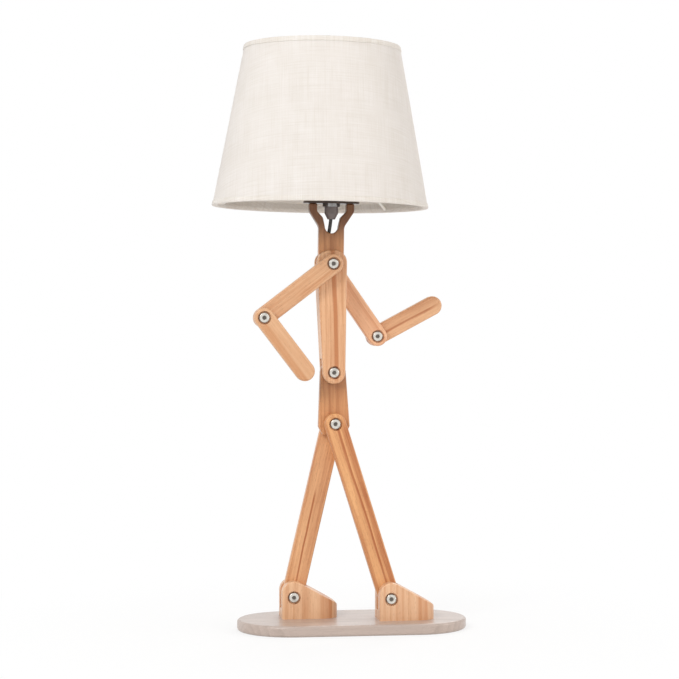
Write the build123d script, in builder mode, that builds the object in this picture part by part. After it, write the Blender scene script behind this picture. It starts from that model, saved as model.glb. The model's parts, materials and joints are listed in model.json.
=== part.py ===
from build123d import *

import os
from math import atan2, cos, dist, pi, radians, sin, tan

# Desk lamp shaped as a jointed wooden figure. Millimetres, +Z up, the figure faces -Y. The origin is the
# centre of the base's underside. Front-view points are (X, Z) pairs, and angles run clockwise from straight
# up.

# ---- Base and feet
base_length = 213.0
base_width = 100.0
base_thickness = 10.0
base_round = 2.5
foot_width = 32.0
heel_margin = 0.9         # behind the leg's round end
dome_rise = 4.0           # centre of the foot's round top above the bolt
foot_toe = 41.5           # bolt centre to the tip of the toe
foot_slope = 29.0         # degrees, top of the foot
foot_bolt_rise = 19.7     # bolt centre above the sole
foot_edge_round = 1.2
toe_flat = 2.0            # straight width left at the tip of the rounded toe
nose_length = 4.0         # of the toe's round nose, along the slope
nose_drop = 1.8           # and down the tip
front_foot_x = 33.0
rear_foot_x = -54.4

# ---- Wooden members: bolt-to-bolt lengths, widths and thicknesses
hip = (-17.1, 189.9)
leg_width = 19.8
leg_thickness = 10.0
plate_thickness = 10.0    # pelvis and neck
pelvis_length = 47.2
pelvis_waist_width = 23.5
pelvis_hip_width = 29.0
pelvis_foot_width = 22.0  # across the cut corners under the hip
pelvis_corner_drop = 2.5  # widest line below the hip bolt
pelvis_end_drop = 10.0    # lower end below the hip bolt
torso_length = 99.9
torso_waist_width = 20.8
torso_shoulder_width = 27.8
torso_top_rise = 12.5     # top end above the shoulder bolt
torso_top_round = 11.0
cheek_thickness = 7.0     # torso wood on each side of its slots
upper_arm_length = 81.2
forearm_length = 61.0     # elbow bolt to the centre of the round tip
arm_width = 18.0
arm_thickness = 10.0
edge_round = 1.8

# ---- Angles at rest
pelvis_angle = -1.1
torso_angle = -1.1
head_angle = 0.8
front_arm_angle = -127.5
front_forearm_angle = 142.7
rear_arm_angle = 145.3
rear_forearm_angle = 61.8

# ---- Bolts, cap nuts and washers
bolt_diameter = 6.0
running_clearance = 0.08  # radial, between a bolt and the bore that turns on it
thread_clearance = 0.03
head_diameter = 9.6
head_thickness = 2.4
head_round = 1.1
pocket_diameter = 12.2
head_sink = 0.2           # head below the wood
socket_across_flats = 4.0
socket_depth = 1.6
barrel_diameter = 8.4
end_play = 0.4            # free length at the end of a shank or barrel
washer_diameter = 16.0
washer_thickness = 0.6
side_play = 0.1           # between a washer and the wood beside it
slot_play = 0.2           # between a leg and the sides of its foot's slot
slot_end_play = 1.2       # between a round end and the bottom of its slot

# ---- Wood screws
foot_screw_diameter = 4.0
foot_screw_head = 8.0
foot_screw_length = 20.0
foot_screw_heel_offset = 10.5   # from the foot's middle plane, into its cheeks
foot_screw_toe_x = 25.0
strap_screw_diameter = 3.0
strap_screw_head = 5.6
strap_screw_length = 12.0
screw_point = 3.0
screw_tip_diameter = 0.8
countersink_angle = 90.0
recess_width = 0.9
recess_depth = 1.2
screw_clearance = 0.05

# ---- Neck fork, heights above the shoulder bolt
neck_width = 23.4
fork_flare_start = 34.5
fork_flare_end = 48.5
fork_width = 41.7
prong_thickness = 7.3
fork_height = 56.0
crotch_bottom = 28.5
crotch_width = 12.6
crotch_flare_width = 16.5
crotch_flare_height = 43.0
fork_outer_rounds = (9.0, 6.0)   # where the neck flares, and where the prong starts
fork_inner_rounds = (4.0, 4.0)   # prong to flare, flare to crotch
prong_tip_round = 1.5
fork_edge_round = 1.2
lead_offset = -3.0        # of the lead's bore from the neck's middle

# ---- Lampholder and its fixing
strap_overhang = 5.2      # beyond the prongs' outer sides
strap_width = 14.0
strap_thickness = 2.0
nipple_diameter = 10.0
nipple_wall = 2.0
nipple_drop = 9.0         # below the prongs' tips
nipple_rise = 11.0        # above the strap
nipple_nut_wall = 2.0     # across flats
nipple_nut_thickness = 3.0
grip_drop = 14.5          # below the prongs' tips
grip_wall = 1.3           # round the nipple
grip_bottom_wall = 1.6    # round the lead
cap_foot_diameter = 26.0
cap_height = 18.0
cap_foot_height = 4.0
holder_diameter = 39.0
holder_wall = 2.2
shell_height = 32.0
flange_width = 3.5        # beyond the shell
flange_height = 14.0      # underside of the shade's seat above the shell's lower end
flange_thickness = 2.0
ring_nut_width = 6.4      # beyond the shell
ring_nut_height = 7.0
seat_clearance = 0.1      # radial, round the lampholder
insert_rise = 6.0         # above the joint between cap and shell
contact_diameter = 9.0
contact_height = 3.0
screw_shell_diameter = 28.4
screw_shell_wall = 0.5
lead_diameter = 3.2
lead_play = 0.3
lead_bend_radius = 9.6
grommet_diameter = 9.0
grommet_thickness = 1.4

# ---- Bulb
bulb_play = 0.5           # radial, in the threaded sleeve
bulb_cap_length = 25.0
bulb_diameter = 60.0
bulb_length = 106.0
bulb_neck_diameter = 27.5
bulb_wall = 1.0

# ---- Shade, standing beside the neck's axis
shade_offset = -10.5
shade_rim_height = 52.6   # lower rim above the shoulder bolt
shade_height = 148.0
shade_bottom_radius = 100.0
shade_top_radius = 71.8
cover_thickness = 0.8
lining_thickness = 0.6
glue_line = 0.05
hem_thickness = 0.5
hem_outer_height = 4.0
hem_inner_height = 8.0
ring_wire = 3.0
arm_wire = 3.0
arm_notch_play = 0.3      # between an arm and the notch in the hem round it
carrier_thickness = 1.6
carrier_lip = 1.6         # beyond the ring nut, where the arms are welded on
spider_arms = 3
spider_turn = 42.0        # degrees from +X to the first arm

FRONT, REAR, DOWN = (0, -1, 0), (0, 1, 0), (0, 0, -1)


def reach(start, length, angle):
    """Front-view point at a distance from start, along an angle clockwise from straight up."""
    return (start[0] + length * sin(radians(angle)), start[1] + length * cos(radians(angle)))


# ---- Bolt centres
front_foot_bolt = (front_foot_x, base_thickness + foot_bolt_rise)
rear_foot_bolt = (rear_foot_x, base_thickness + foot_bolt_rise)
waist = reach(hip, pelvis_length, pelvis_angle)
shoulder = reach(waist, torso_length, torso_angle)
front_elbow = reach(shoulder, upper_arm_length, front_arm_angle)
front_tip = reach(front_elbow, forearm_length, front_forearm_angle)
rear_elbow = reach(shoulder, upper_arm_length, rear_arm_angle)
rear_tip = reach(rear_elbow, forearm_length, rear_forearm_angle)

# ---- Layers of wood from the middle plane outwards
layer_gap = washer_thickness + 2 * side_play
plate_face = plate_thickness / 2
cheek_inner = plate_face + layer_gap
cheek_outer = cheek_inner + cheek_thickness
leg_middle = cheek_inner + leg_thickness / 2
leg_outer = cheek_inner + leg_thickness
arm_inner = cheek_outer + layer_gap
arm_outer = arm_inner + arm_thickness
forearm_inner = arm_outer + layer_gap
forearm_outer = forearm_inner + arm_thickness

pocket_depth = head_thickness + head_sink
bolt_bore = bolt_diameter + 2 * running_clearance
barrel_bore = barrel_diameter + 2 * running_clearance
foot_heel = leg_width / 2 + heel_margin      # bolt centre to the back of the heel
foot_top = foot_bolt_rise + dome_rise + foot_heel
toe_round = (foot_width - toe_flat) / 2
foot_slot_half = leg_thickness / 2 + slot_play
foot_cheek = foot_width / 2 - foot_slot_half

# ---- Round the nipple and the lampholder
strap_length = fork_width + 2 * strap_overhang
strap_top = fork_height + strap_thickness
nipple_bore = nipple_diameter - 2 * nipple_wall
nipple_bottom = fork_height - nipple_drop
nipple_top = strap_top + nipple_rise
nipple_nut_across_flats = nipple_diameter + 2 * nipple_nut_wall
grip_bottom = fork_height - grip_drop
grip_top_diameter = nipple_diameter + 2 * grip_wall
grip_bottom_diameter = lead_diameter + 2 * (lead_play + grip_bottom_wall)
holder_radius = holder_diameter / 2
flange_diameter = holder_diameter + 2 * flange_width
ring_nut_diameter = holder_diameter + 2 * ring_nut_width
carrier_width = ring_nut_width + carrier_lip
bulb_cap_diameter = screw_shell_diameter - 2 * (screw_shell_wall + bulb_play)

# ---- The head's own frame: origin at the shoulder bolt, Z up the neck
tilt = radians(head_angle)
head = Plane(origin=(shoulder[0], 0, shoulder[1]), x_dir=(cos(tilt), 0, -sin(tilt)),
             z_dir=(sin(tilt), 0, cos(tilt)))


def facing(point, y, normal):
    """Plane square to Y at a front-view point."""
    return Plane(origin=(point[0], y, point[1]), x_dir=(1, 0, 0), z_dir=normal)


def along_board(start, end, y_back):
    """Plane on a board's back face, with X from the first bolt to the second and Z to the front."""
    along = (end[0] - start[0], 0, end[1] - start[1])
    return Plane(origin=(start[0], y_back, start[1]), x_dir=along, z_dir=FRONT)


def head_point(across, height, y=0.0):
    return head.from_local_coords((across, y, height))


def head_side(across=0.0, y=0.0):
    """Plane square to Y in the head's frame: X across the neck, Y up it."""
    return Plane(origin=head_point(across, 0, y), x_dir=head.x_dir, z_dir=FRONT)


def head_level(height, across=0.0):
    """Plane square to the neck at a height above the shoulder bolt."""
    return Plane(origin=head_point(across, height), x_dir=head.x_dir, z_dir=head.z_dir)


def round_ended(start, end, width):
    """Add a board's outline, with full round ends about two bolt centres, to the sketch being drawn."""
    length = dist(start, end)
    with Locations((length / 2, 0)):
        SlotCenterToCenter(length, width)


def bolt_pocket(point, face):
    """Cut a bolt's bore and the pocket of its head from a front face."""
    with Locations(facing(point, face, FRONT)):
        CounterBoreHole(bolt_bore / 2, pocket_diameter / 2, pocket_depth)


def nut_pocket(point, face, board):
    """Cut a cap nut's bore and the pocket of its head from a rear face, through one board."""
    with Locations(facing(point, face, REAR)):
        CounterBoreHole(barrel_bore / 2, pocket_diameter / 2, pocket_depth, depth=board)


def bolt_hole(point):
    with Locations(facing(point, 0, FRONT)):
        Hole(bolt_bore / 2)


def bolt(point, front_face, rear_face):
    """Socket-head bolt from a front pocket to the inside of the rear cap nut."""
    seat = front_face + pocket_depth
    with BuildPart() as piece:
        with BuildSketch(facing(point, seat, FRONT)):
            Circle(head_diameter / 2)
        extrude(amount=head_thickness)
        fillet(piece.faces().sort_by(Axis.Y)[0].edges(), head_round)
        with BuildSketch(facing(point, seat, REAR)):
            Circle(bolt_diameter / 2)
        extrude(amount=rear_face - pocket_depth - end_play - seat)
        with BuildSketch(facing(point, seat - head_thickness, REAR)):
            RegularPolygon(socket_across_flats / 2, 6, major_radius=False)
        extrude(amount=socket_depth, mode=Mode.SUBTRACT)
    return piece.part


def cap_nut(point, rear_face, board):
    """Flat cap nut in a rear pocket, its threaded barrel inside the board."""
    seat = rear_face - pocket_depth
    barrel_length = board - pocket_depth - end_play
    with BuildPart() as piece:
        with BuildSketch(facing(point, seat, REAR)):
            Circle(head_diameter / 2)
        extrude(amount=head_thickness)
        fillet(piece.faces().sort_by(Axis.Y)[-1].edges(), head_round)
        with BuildSketch(facing(point, seat, FRONT)):
            Circle(barrel_diameter / 2)
        extrude(amount=barrel_length)
        with BuildSketch(facing(point, seat, FRONT)):
            Circle(bolt_diameter / 2 + thread_clearance)
        extrude(amount=barrel_length, mode=Mode.SUBTRACT)
        with BuildSketch(facing(point, seat + head_thickness, FRONT)):
            RegularPolygon(socket_across_flats / 2, 6, major_radius=False)
        extrude(amount=socket_depth, mode=Mode.SUBTRACT)
    return piece.part


def washers(point, *lower_faces):
    """Thin washers round one bolt, each starting a side play beyond the given face."""
    with BuildPart() as rings:
        for face in lower_faces:
            with BuildSketch(facing(point, face + side_play, REAR)):
                Circle(washer_diameter / 2)
                Circle(bolt_bore / 2, mode=Mode.SUBTRACT)
            extrude(amount=washer_thickness)
    return rings.part


def wood_screws(places, diameter, head_size, length):
    """Countersunk screws; each place is a plane on the surface with Z into the wood."""
    head_height = (head_size - diameter) / 2
    with BuildPart() as screws:
        with Locations(*places):
            upright = (Align.CENTER, Align.CENTER, Align.MIN)
            Cone(head_size / 2, diameter / 2, head_height, align=upright)
            Cylinder(diameter / 2, length - screw_point, align=upright)
        with Locations(*[place.offset(length - screw_point) for place in places]):
            Cone(diameter / 2, screw_tip_diameter / 2, screw_point, align=upright)
        with Locations(*places):
            Box(head_size / 2, recess_width, recess_depth, align=upright, mode=Mode.SUBTRACT)
            Box(recess_width, head_size / 2, recess_depth, align=upright, mode=Mode.SUBTRACT)
    return screws.part


def screw_holes(places, diameter, head_size, depth):
    """Cut countersunk screw holes into the part being built."""
    bore, mouth = diameter / 2 + screw_clearance, head_size / 2 + screw_clearance
    with Locations(*[Plane(place.origin, x_dir=place.x_dir, z_dir=-place.z_dir) for place in places]):
        CounterSinkHole(bore, mouth, depth, countersink_angle)


def turned(outline, across=0.0):
    """Solid of revolution about the neck's axis, or one beside it; the outline is (radius, height) points."""
    side = head_side(across)
    with BuildPart() as piece:
        with BuildSketch(side):
            with BuildLine():
                Polyline(*outline, close=True)
            make_face()
        revolve(axis=Axis(side.origin, side.y_dir))
    return piece.part


# ---- Base plate, feet and their screws
def foot_screw_places(bolt_x, middle_y):
    spots = ((0, -foot_screw_heel_offset), (0, foot_screw_heel_offset), (foot_screw_toe_x, 0))
    return [Plane(origin=(bolt_x + x, middle_y + y, 0)) for x, y in spots]


front_screw_planes = foot_screw_places(front_foot_x, -leg_middle)
rear_screw_planes = foot_screw_places(rear_foot_x, leg_middle)
foot_screw_planes = front_screw_planes + rear_screw_planes

with BuildPart() as base_plate:
    with BuildSketch():
        SlotOverall(base_length, base_width)
    extrude(amount=base_thickness)
    fillet(base_plate.faces().filter_by(Axis.Z).edges(), base_round)
    screw_holes(foot_screw_planes, foot_screw_diameter, foot_screw_head, base_thickness)


def foot(bolt_centre, middle_y):
    """Shoe-shaped block, slotted for the leg and bolted through its two cheeks."""
    slope = radians(foot_slope)
    dome_turn = slope / 2 - pi / 4
    dome_height = foot_bolt_rise + dome_rise
    crown = (foot_heel * sin(slope), dome_height + foot_heel * cos(slope))
    dome_top = (foot_heel * sin(dome_turn), dome_height + foot_heel * cos(dome_turn))
    toe_height = crown[1] - (foot_toe - crown[0]) * tan(slope)
    nose_back = (foot_toe - nose_length * cos(slope), toe_height + nose_length * sin(slope))
    nose_front = (foot_toe, toe_height - nose_drop)
    sole = Plane(origin=(bolt_centre[0], middle_y, base_thickness))
    with BuildPart() as block:
        with BuildSketch(facing((bolt_centre[0], base_thickness), middle_y + foot_width / 2, FRONT)):
            with BuildLine():
                Polyline((-foot_heel, dome_height), (-foot_heel, 0), (foot_toe, 0), nose_front)
                TangentArc(nose_back, nose_front, tangent=(cos(slope), -sin(slope)))
                Line(nose_back, crown)
                ThreePointArc(crown, dome_top, (-foot_heel, dome_height))
            make_face()
        extrude(amount=foot_width)
        with BuildSketch(sole) as plan:
            with Locations(((foot_toe - foot_heel) / 2, 0)):
                Rectangle(foot_toe + foot_heel, foot_width)
            fillet(plan.vertices().group_by(Axis.X)[-1], toe_round)
        extrude(amount=foot_top, mode=Mode.INTERSECT)
        upper_edges = block.edges().filter_by(lambda e: e.center().Z > base_thickness + foot_edge_round)
        fillet(upper_edges, foot_edge_round)
        with BuildSketch(along_board(bolt_centre, hip, middle_y)):
            with Locations((foot_top, 0)):
                SlotCenterToCenter(2 * foot_top, leg_width + 2 * slot_end_play)
        extrude(amount=foot_slot_half, both=True, mode=Mode.SUBTRACT)
        with BuildSketch(facing(bolt_centre, middle_y, FRONT)):
            with Locations((0, -leg_width / 2 - slot_end_play)):
                Rectangle(2 * foot_heel, 2 * foot_top, align=(Align.MAX, Align.MIN))
        extrude(amount=foot_slot_half, both=True, mode=Mode.SUBTRACT)
        bolt_pocket(bolt_centre, middle_y - foot_width / 2)
        nut_pocket(bolt_centre, middle_y + foot_width / 2, foot_cheek)
        screw_places = foot_screw_places(bolt_centre[0], middle_y)
        screw_holes([place.offset(base_thickness) for place in screw_places], foot_screw_diameter,
                    foot_screw_diameter, foot_screw_length - base_thickness + end_play)
    return block.part


front_foot = foot(front_foot_bolt, -leg_middle)
rear_foot = foot(rear_foot_bolt, leg_middle)
foot_screws = wood_screws(foot_screw_planes, foot_screw_diameter, foot_screw_head, foot_screw_length)

foot_bolts = [bolt(front_foot_bolt, -leg_middle - foot_width / 2, -leg_middle + foot_width / 2),
              bolt(rear_foot_bolt, leg_middle - foot_width / 2, leg_middle + foot_width / 2)]
foot_nuts = [cap_nut(front_foot_bolt, -leg_middle + foot_width / 2, foot_cheek),
             cap_nut(rear_foot_bolt, leg_middle + foot_width / 2, foot_cheek)]

# ---- Legs, one each side of the pelvis
with BuildPart() as front_leg:
    with BuildSketch(along_board(front_foot_bolt, hip, -cheek_inner)):
        round_ended(front_foot_bolt, hip, leg_width)
    extrude(amount=leg_thickness)
    fillet(front_leg.faces().filter_by(Axis.Y).edges(), edge_round)
    bolt_hole(front_foot_bolt)
    bolt_pocket(hip, -leg_outer)

with BuildPart() as rear_leg:
    with BuildSketch(along_board(rear_foot_bolt, hip, leg_outer)):
        round_ended(rear_foot_bolt, hip, leg_width)
    extrude(amount=leg_thickness)
    fillet(rear_leg.faces().filter_by(Axis.Y).edges(), edge_round)
    bolt_hole(rear_foot_bolt)
    nut_pocket(hip, leg_outer, leg_thickness)

hip_bolt = bolt(hip, -leg_outer, leg_outer)
hip_nut = cap_nut(hip, leg_outer, leg_thickness)
hip_washers = washers(hip, -cheek_inner, plate_face)

# ---- Pelvis plate: widest at the hip, with cut corners below
with BuildPart() as pelvis:
    with BuildSketch(along_board(hip, waist, plate_face)):
        with Locations((pelvis_length, 0)):
            Circle(pelvis_waist_width / 2)
        Polygon((-pelvis_corner_drop, -pelvis_hip_width / 2), (-pelvis_corner_drop, pelvis_hip_width / 2),
                (-pelvis_end_drop, pelvis_foot_width / 2), (-pelvis_end_drop, -pelvis_foot_width / 2),
                align=None)
        make_hull()
    extrude(amount=plate_thickness)
    fillet(pelvis.faces().filter_by(Axis.Y).edges(), edge_round)
    bolt_hole(hip)
    bolt_hole(waist)

# ---- Torso, slotted at both ends for the pelvis and the neck
with BuildPart() as torso:
    with BuildSketch(along_board(waist, shoulder, cheek_outer)):
        Circle(torso_waist_width / 2)
        with Locations((torso_length + torso_top_rise - torso_top_round, 0)):
            with GridLocations(0, torso_shoulder_width - 2 * torso_top_round, 1, 2):
                Circle(torso_top_round)
        make_hull()
    extrude(amount=2 * cheek_outer)
    fillet(torso.faces().filter_by(Axis.Y).edges(), edge_round)
    lower_slot = pelvis_waist_width / 2 + slot_end_play
    upper_slot = torso_length - neck_width / 2 - slot_end_play
    with BuildSketch(along_board(waist, shoulder, 0)):
        with Locations((lower_slot, 0)):
            Rectangle(lower_slot + torso_waist_width, torso_shoulder_width, align=(Align.MAX, Align.CENTER))
        with Locations((upper_slot, 0)):
            Rectangle(torso_length, torso_shoulder_width, align=(Align.MIN, Align.CENTER))
    extrude(amount=cheek_inner, both=True, mode=Mode.SUBTRACT)
    bolt_pocket(waist, -cheek_outer)
    nut_pocket(waist, cheek_outer, cheek_thickness)
    bolt_hole(shoulder)

waist_bolt = bolt(waist, -cheek_outer, cheek_outer)
waist_nut = cap_nut(waist, cheek_outer, cheek_thickness)
waist_washers = washers(waist, -cheek_inner, plate_face)
shoulder_bolt = bolt(shoulder, -arm_outer, arm_outer)
shoulder_nut = cap_nut(shoulder, arm_outer, arm_thickness)
shoulder_washers = washers(shoulder, -arm_inner, -cheek_inner, plate_face, cheek_outer)

# ---- Front arm: the forearm lies in front of the upper arm
with BuildPart() as front_upper_arm:
    with BuildSketch(along_board(shoulder, front_elbow, -arm_inner)):
        round_ended(shoulder, front_elbow, arm_width)
    extrude(amount=arm_thickness)
    fillet(front_upper_arm.faces().filter_by(Axis.Y).edges(), edge_round)
    bolt_pocket(shoulder, -arm_outer)
    nut_pocket(front_elbow, -arm_inner, arm_thickness)

with BuildPart() as front_forearm:
    with BuildSketch(along_board(front_elbow, front_tip, -forearm_inner)):
        round_ended(front_elbow, front_tip, arm_width)
    extrude(amount=arm_thickness)
    fillet(front_forearm.faces().filter_by(Axis.Y).edges(), edge_round)
    bolt_pocket(front_elbow, -forearm_outer)

front_elbow_bolt = bolt(front_elbow, -forearm_outer, -arm_inner)
front_elbow_nut = cap_nut(front_elbow, -arm_inner, arm_thickness)
front_elbow_washer = washers(front_elbow, -forearm_inner)

# ---- Rear arm: the forearm lies behind the upper arm
with BuildPart() as rear_upper_arm:
    with BuildSketch(along_board(shoulder, rear_elbow, arm_outer)):
        round_ended(shoulder, rear_elbow, arm_width)
    extrude(amount=arm_thickness)
    fillet(rear_upper_arm.faces().filter_by(Axis.Y).edges(), edge_round)
    nut_pocket(shoulder, arm_outer, arm_thickness)
    bolt_pocket(rear_elbow, arm_inner)

with BuildPart() as rear_forearm:
    with BuildSketch(along_board(rear_elbow, rear_tip, forearm_outer)):
        round_ended(rear_elbow, rear_tip, arm_width)
    extrude(amount=arm_thickness)
    fillet(rear_forearm.faces().filter_by(Axis.Y).edges(), edge_round)
    nut_pocket(rear_elbow, forearm_outer, arm_thickness)

rear_elbow_bolt = bolt(rear_elbow, arm_inner, forearm_outer)
rear_elbow_nut = cap_nut(rear_elbow, forearm_outer, arm_thickness)
rear_elbow_washer = washers(rear_elbow, arm_outer)

# ---- Lead, from the lampholder down into the neck and out at its back
lead_exit_slope = radians(60)         # from the neck's axis, outwards through its back
lead_bend_height = crotch_bottom - lead_bend_radius * tan(lead_exit_slope / 2)
lead_exit = plate_face + grommet_thickness
lead_exit_height = lead_bend_height - lead_exit / tan(lead_exit_slope)
lead_run = grip_bottom - lead_bend_height
lead_slant = atan2(abs(lead_offset), lead_run)
lead_radii = [lead_run / 2 / tan(lead_slant / 2), lead_bend_radius]
lead_route = [head_point(0, nipple_top), head_point(0, grip_bottom),
              head_point(lead_offset, lead_bend_height), head_point(lead_offset, lead_exit_height, lead_exit)]
lead_start = Plane(origin=lead_route[0], x_dir=head.x_dir, z_dir=-head.z_dir)


def lead_path():
    return FilletPolyline(*lead_route, radius=lead_radii)


with BuildPart() as socket_lead:
    with BuildLine() as path:
        lead_path()
    with BuildSketch(lead_start):
        Circle(lead_diameter / 2)
    sweep()

with BuildPart(mode=Mode.PRIVATE) as lead_bore:
    with BuildLine():
        lead_path()
    with BuildSketch(lead_start):
        Circle(lead_diameter / 2 + lead_play)
    sweep()

# ---- Neck plate ending in a two-pronged fork
fork_right = [(neck_width / 2, 0), (neck_width / 2, fork_flare_start), (fork_width / 2, fork_flare_end),
              (fork_width / 2, fork_height), (fork_width / 2 - prong_thickness, fork_height),
              (fork_width / 2 - prong_thickness, fork_flare_end),
              (crotch_flare_width / 2, crotch_flare_height),
              (crotch_width / 2, crotch_bottom + crotch_width / 2)]
strap_screw_planes = [Plane(origin=head_point(side * (fork_width - prong_thickness) / 2, strap_top),
                            x_dir=head.x_dir, z_dir=-head.z_dir) for side in (-1, 1)]
fork_radii = [*fork_outer_rounds, prong_tip_round, prong_tip_round, *fork_inner_rounds]
with BuildPart() as neck_fork:
    with BuildSketch(head_side(y=plate_face)):
        with BuildLine():
            FilletPolyline(*fork_right, radius=fork_radii)
            mirror(about=Plane.YZ)
            ThreePointArc(fork_right[-1], (0, crotch_bottom), (-crotch_width / 2, fork_right[-1][1]))
            ThreePointArc(fork_right[0], (0, -neck_width / 2), (-neck_width / 2, 0))
        make_face()
    extrude(amount=plate_thickness)
    fillet(neck_fork.faces().filter_by(Axis.Y).edges(), fork_edge_round)
    bolt_hole(shoulder)
    add(lead_bore.part, mode=Mode.SUBTRACT)
    screw_holes(strap_screw_planes, strap_screw_diameter, strap_screw_diameter, strap_screw_length + end_play)

with BuildPart() as lead_grommet:
    grommet_height = lead_bend_height - plate_face / tan(lead_exit_slope)
    mouth = head_point(lead_offset, grommet_height, plate_face)
    with BuildSketch(Plane(mouth, x_dir=head.x_dir, z_dir=REAR)):
        Circle(grommet_diameter / 2)
    extrude(amount=grommet_thickness)
    add(lead_bore.part, mode=Mode.SUBTRACT)

# ---- Strap across the prongs, with the hollow nipple that holds the lampholder
with BuildPart() as socket_strap:
    with BuildSketch(head_level(fork_height)):
        SlotOverall(strap_length, strap_width)
        Circle(nipple_diameter / 2 + screw_clearance, mode=Mode.SUBTRACT)
    extrude(amount=strap_thickness)
    screw_holes(strap_screw_planes, strap_screw_diameter, strap_screw_head, strap_thickness)

strap_screws = wood_screws(strap_screw_planes, strap_screw_diameter, strap_screw_head, strap_screw_length)

socket_nipple = turned([(nipple_bore / 2, nipple_bottom), (nipple_diameter / 2, nipple_bottom),
                        (nipple_diameter / 2, nipple_top), (nipple_bore / 2, nipple_top)])

with BuildPart() as nipple_nut:
    with BuildSketch(head_level(fork_height - nipple_nut_thickness)):
        RegularPolygon(nipple_nut_across_flats / 2, 6, major_radius=False)
        Circle(nipple_diameter / 2 + thread_clearance, mode=Mode.SUBTRACT)
    extrude(amount=nipple_nut_thickness)

grip_top = fork_height - nipple_nut_thickness
cord_grip = turned([(lead_diameter / 2 + lead_play, grip_bottom), (grip_bottom_diameter / 2, grip_bottom),
                    (grip_top_diameter / 2, nipple_bottom), (grip_top_diameter / 2, grip_top),
                    (nipple_diameter / 2 + thread_clearance, grip_top),
                    (nipple_diameter / 2 + thread_clearance, nipple_bottom),
                    (lead_diameter / 2 + lead_play, nipple_bottom)])

# ---- Lampholder: cap, shell with a seat for the shade, and the ring nut that clamps the shade
cap_top = strap_top + cap_height
cap_floor = strap_top + holder_wall
lampholder_cap = turned([(nipple_diameter / 2 + thread_clearance, strap_top),
                         (cap_foot_diameter / 2, strap_top),
                         (cap_foot_diameter / 2, strap_top + cap_foot_height),
                         (holder_radius, cap_top - cap_foot_height), (holder_radius, cap_top),
                         (holder_radius - holder_wall, cap_top),
                         (holder_radius - holder_wall, cap_top - cap_foot_height),
                         (cap_foot_diameter / 2 - holder_wall, cap_floor),
                         (nipple_diameter / 2 + thread_clearance, cap_floor)])

insert_base = cap_top - cap_foot_height
insert_top = cap_top + insert_rise
shell_top = cap_top + shell_height
shade_seat = cap_top + flange_height + flange_thickness
lampholder_shell = turned([(holder_radius - holder_wall, cap_top), (holder_radius, cap_top),
                           (holder_radius, cap_top + flange_height),
                           (flange_diameter / 2, cap_top + flange_height),
                           (flange_diameter / 2, shade_seat), (holder_radius, shade_seat),
                           (holder_radius, shell_top), (screw_shell_diameter / 2 + seat_clearance, shell_top),
                           (screw_shell_diameter / 2 + seat_clearance, insert_top),
                           (holder_radius - holder_wall, insert_top)])

nut_base = shade_seat + carrier_thickness
shade_ring_nut = turned([(holder_radius + seat_clearance, nut_base), (ring_nut_diameter / 2, nut_base),
                         (ring_nut_diameter / 2, nut_base + flange_thickness),
                         (flange_diameter / 2, nut_base + ring_nut_height),
                         (holder_radius + seat_clearance, nut_base + ring_nut_height)])

# ---- Inside the lampholder: insulating insert, centre contact and threaded sleeve
contact_insert = turned([(0, insert_base), (holder_radius - holder_wall - seat_clearance, insert_base),
                         (holder_radius - holder_wall - seat_clearance, insert_top), (0, insert_top)])
centre_contact = turned([(0, insert_top), (contact_diameter / 2, insert_top),
                         (contact_diameter / 2, insert_top + contact_height),
                         (0, insert_top + contact_height)])
sleeve_radius = screw_shell_diameter / 2
screw_shell = turned([(sleeve_radius - screw_shell_wall, insert_top), (sleeve_radius, insert_top),
                      (sleeve_radius, shell_top - flange_thickness),
                      (sleeve_radius - screw_shell_wall, shell_top - flange_thickness)])

# ---- Bulb
bulb_seat = insert_top + contact_height
cap_end = bulb_seat + bulb_cap_length
bulb_cap = turned([(0, bulb_seat), (contact_diameter / 2, bulb_seat),
                   (bulb_cap_diameter / 2, bulb_seat + contact_height), (bulb_cap_diameter / 2, cap_end),
                   (0, cap_end)])

bulb_centre = bulb_seat + bulb_length - bulb_diameter / 2
bulb_side = head_side()
with BuildPart() as bulb_envelope:
    with BuildSketch(bulb_side):
        with Locations((0, bulb_centre)):
            Circle(bulb_diameter / 2)
        with Locations((0, cap_end)):
            Rectangle(bulb_neck_diameter, bulb_wall, align=(Align.CENTER, Align.MIN))
        make_hull()
        split(bisect_by=Plane.YZ)
    revolve(axis=Axis(bulb_side.origin, bulb_side.y_dir))
    neck_mouth = bulb_envelope.faces().filter_by(GeomType.PLANE)
    offset(amount=-bulb_wall, openings=neck_mouth)

# ---- Shade: cover and lining laminated together, wire rings in rolled hems, and the spider that carries it
shade_taper = (shade_bottom_radius - hem_thickness - shade_top_radius) / shade_height
rim_bottom = shade_rim_height + hem_thickness
rim_top = shade_rim_height + shade_height - hem_thickness


def cover_radius(height):
    """Outer radius of the cover at a height above the shoulder bolt."""
    return shade_bottom_radius - hem_thickness - shade_taper * (height - shade_rim_height)


def cone_shell(outer_inset, thickness):
    inner_inset = outer_inset + thickness
    bottom, top = cover_radius(rim_bottom), cover_radius(rim_top)
    return turned([(bottom - inner_inset, rim_bottom), (bottom - outer_inset, rim_bottom),
                   (top - outer_inset, rim_top), (top - inner_inset, rim_top)], shade_offset)


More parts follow.
